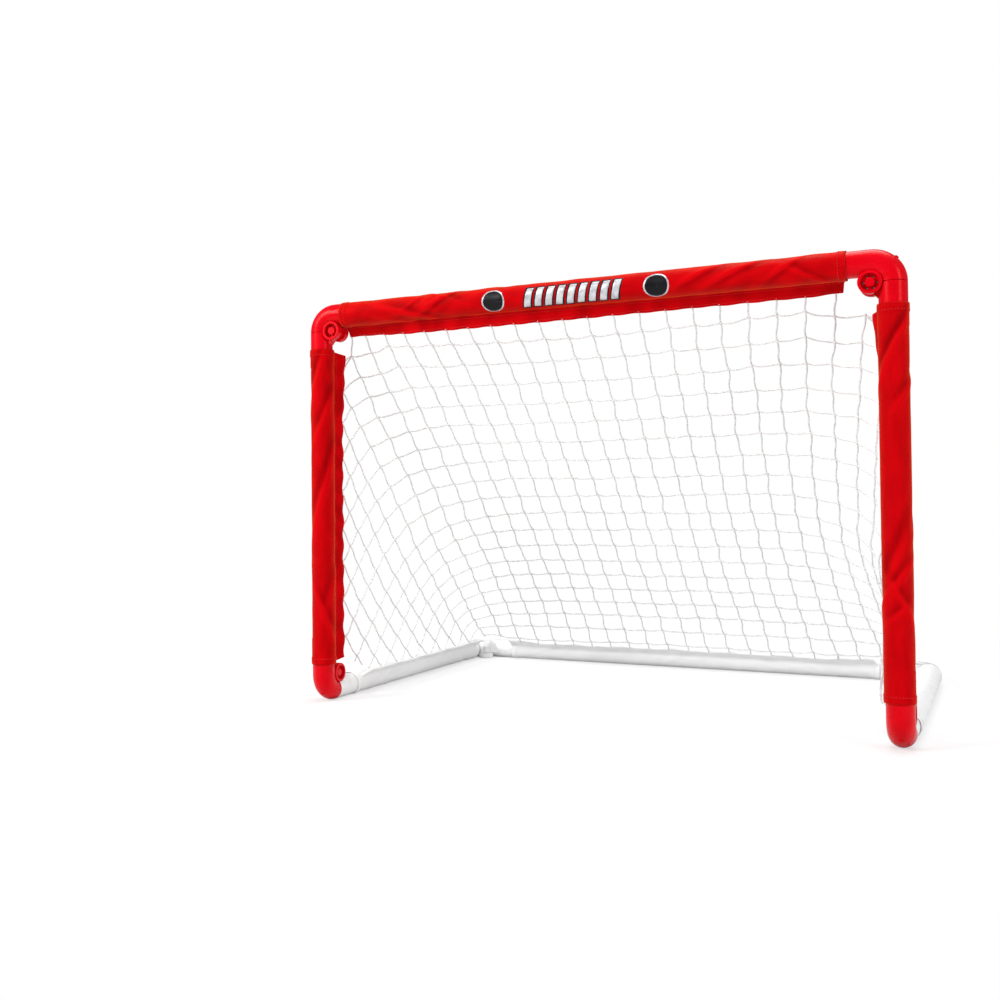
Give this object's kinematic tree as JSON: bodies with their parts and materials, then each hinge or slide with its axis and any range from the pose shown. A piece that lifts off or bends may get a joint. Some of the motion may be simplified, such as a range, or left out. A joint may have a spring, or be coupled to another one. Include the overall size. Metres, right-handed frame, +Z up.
{
  "type": "folding mini hockey goal",
  "caption": "Folding mini hockey goal: red fabric-sleeved pipe arch, white sleeved floor base that folds up on moulded corner hinges, and a sloping white net.",
  "frame": {"origin": "on the floor below the middle of the goal's outline", "axes": "+X across the goal to the right of a player who faces the net, +Y from the mouth to the rear bar, +Z up"},
  "size_m": [0.7168, 0.5125, 0.5097],
  "materials": {
    "red_paint": "gloss powder coat",
    "white_paint": "gloss powder coat",
    "red_plastic": "satin moulded",
    "white_plastic": "satin moulded",
    "red_fabric": "satin woven polyester",
    "white_fabric": "satin woven polyester",
    "net_twine": "knotted twine"
  },
  "bodies": {
    "front_frame": {"crossbar_pipe": "red_paint", "left_post_pipe": "red_paint", "right_post_pipe": "red_paint", "top_left_elbow": "red_plastic", "top_right_elbow": "red_plastic", "bottom_left_elbow": "red_plastic", "bottom_right_elbow": "red_plastic", "top_left_socket": "red_plastic", "top_right_socket": "red_plastic", "front_hinge_pins": "red_plastic", "front_pin_caps": "red_plastic", "crossbar_sleeve": "red_fabric", "left_post_sleeve": "red_fabric", "right_post_sleeve": "red_fabric", "back_net": "net_twine", "left_side_net": "net_twine", "right_side_net": "net_twine"},
    "base_frame": {"left_rail_pipe": "white_paint", "right_rail_pipe": "white_paint", "rear_bar_pipe": "white_paint", "bottom_left_socket": "white_plastic", "bottom_right_socket": "white_plastic", "rear_left_elbow": "white_plastic", "rear_right_elbow": "white_plastic", "rear_left_socket": "white_plastic", "rear_right_socket": "white_plastic", "rear_hinge_pins": "white_plastic", "rear_pin_caps": "white_plastic", "left_rail_sleeve": "white_fabric", "right_rail_sleeve": "white_fabric", "rear_bar_sleeve": "white_fabric"}
  },
  "joints": [
    {"name": "base_fold", "type": "hinge", "parent": "front_frame", "child": "base_frame", "pos_m": [0, -0.21915, 0.0345], "axis": [1, 0, 0], "range_deg": [0, 90], "deforming": ["back_net", "left_side_net", "right_side_net"]}
  ]
}
